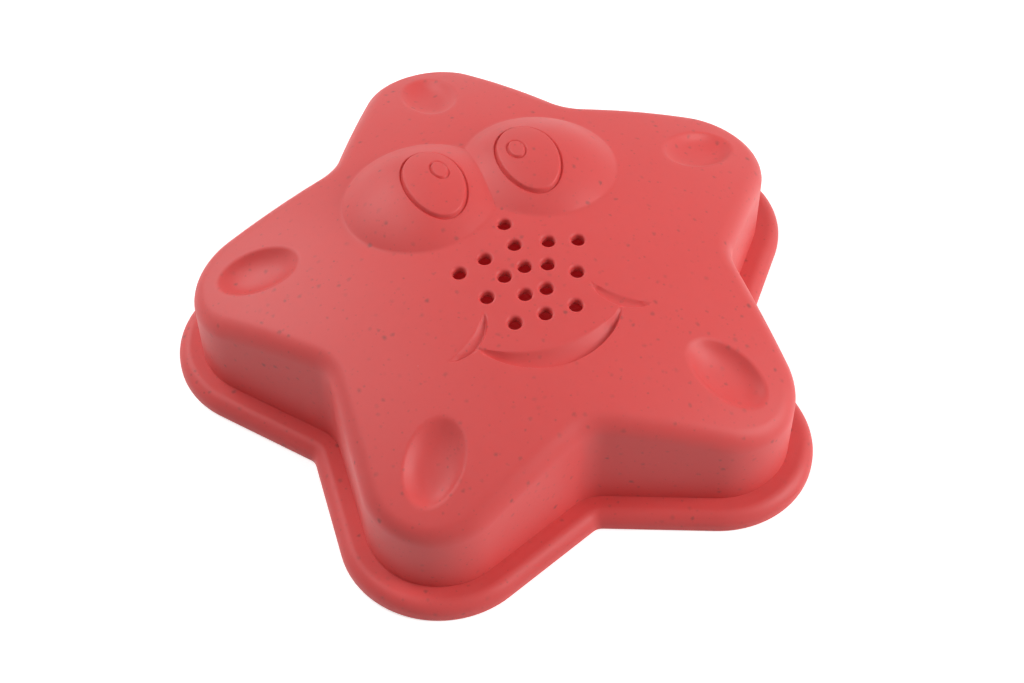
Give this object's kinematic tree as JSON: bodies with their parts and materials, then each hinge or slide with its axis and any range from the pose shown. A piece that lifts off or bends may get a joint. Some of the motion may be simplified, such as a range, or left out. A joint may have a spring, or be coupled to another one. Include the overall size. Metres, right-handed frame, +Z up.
{
  "type": "sand mould",
  "caption": "Star-shaped sand mould with a smiling face: hollow plastic shell with a crowned top, drain holes and a turned-over rim, open underneath.",
  "frame": {"origin": "on the ground, in the middle of the bounding box's underside, with the mould lying mouth down on its rim", "axes": "+Z up out of the face, +Y towards the arm above the eyes, +X towards the viewer's right of the face"},
  "size_m": [0.1468, 0.1416, 0.0428],
  "materials": {
    "coral_plastic": "satin coral-red moulded plastic with sparse fine dark flecks"
  },
  "bodies": {
    "root": {"rim": "coral_plastic", "side_wall": "coral_plastic", "shoulder": "coral_plastic", "top_panel": "coral_plastic", "sieve_plate": "coral_plastic", "left_eye_dome": "coral_plastic", "right_eye_dome": "coral_plastic", "left_iris": "coral_plastic", "right_iris": "coral_plastic", "left_pupil": "coral_plastic", "right_pupil": "coral_plastic", "top_arm_dimple": "coral_plastic", "upper_left_arm_dimple": "coral_plastic", "lower_left_arm_dimple": "coral_plastic", "lower_right_arm_dimple": "coral_plastic", "upper_right_arm_dimple": "coral_plastic", "smile": "coral_plastic", "left_smile_corner": "coral_plastic", "right_smile_corner": "coral_plastic"}
  },
  "joints": []
}
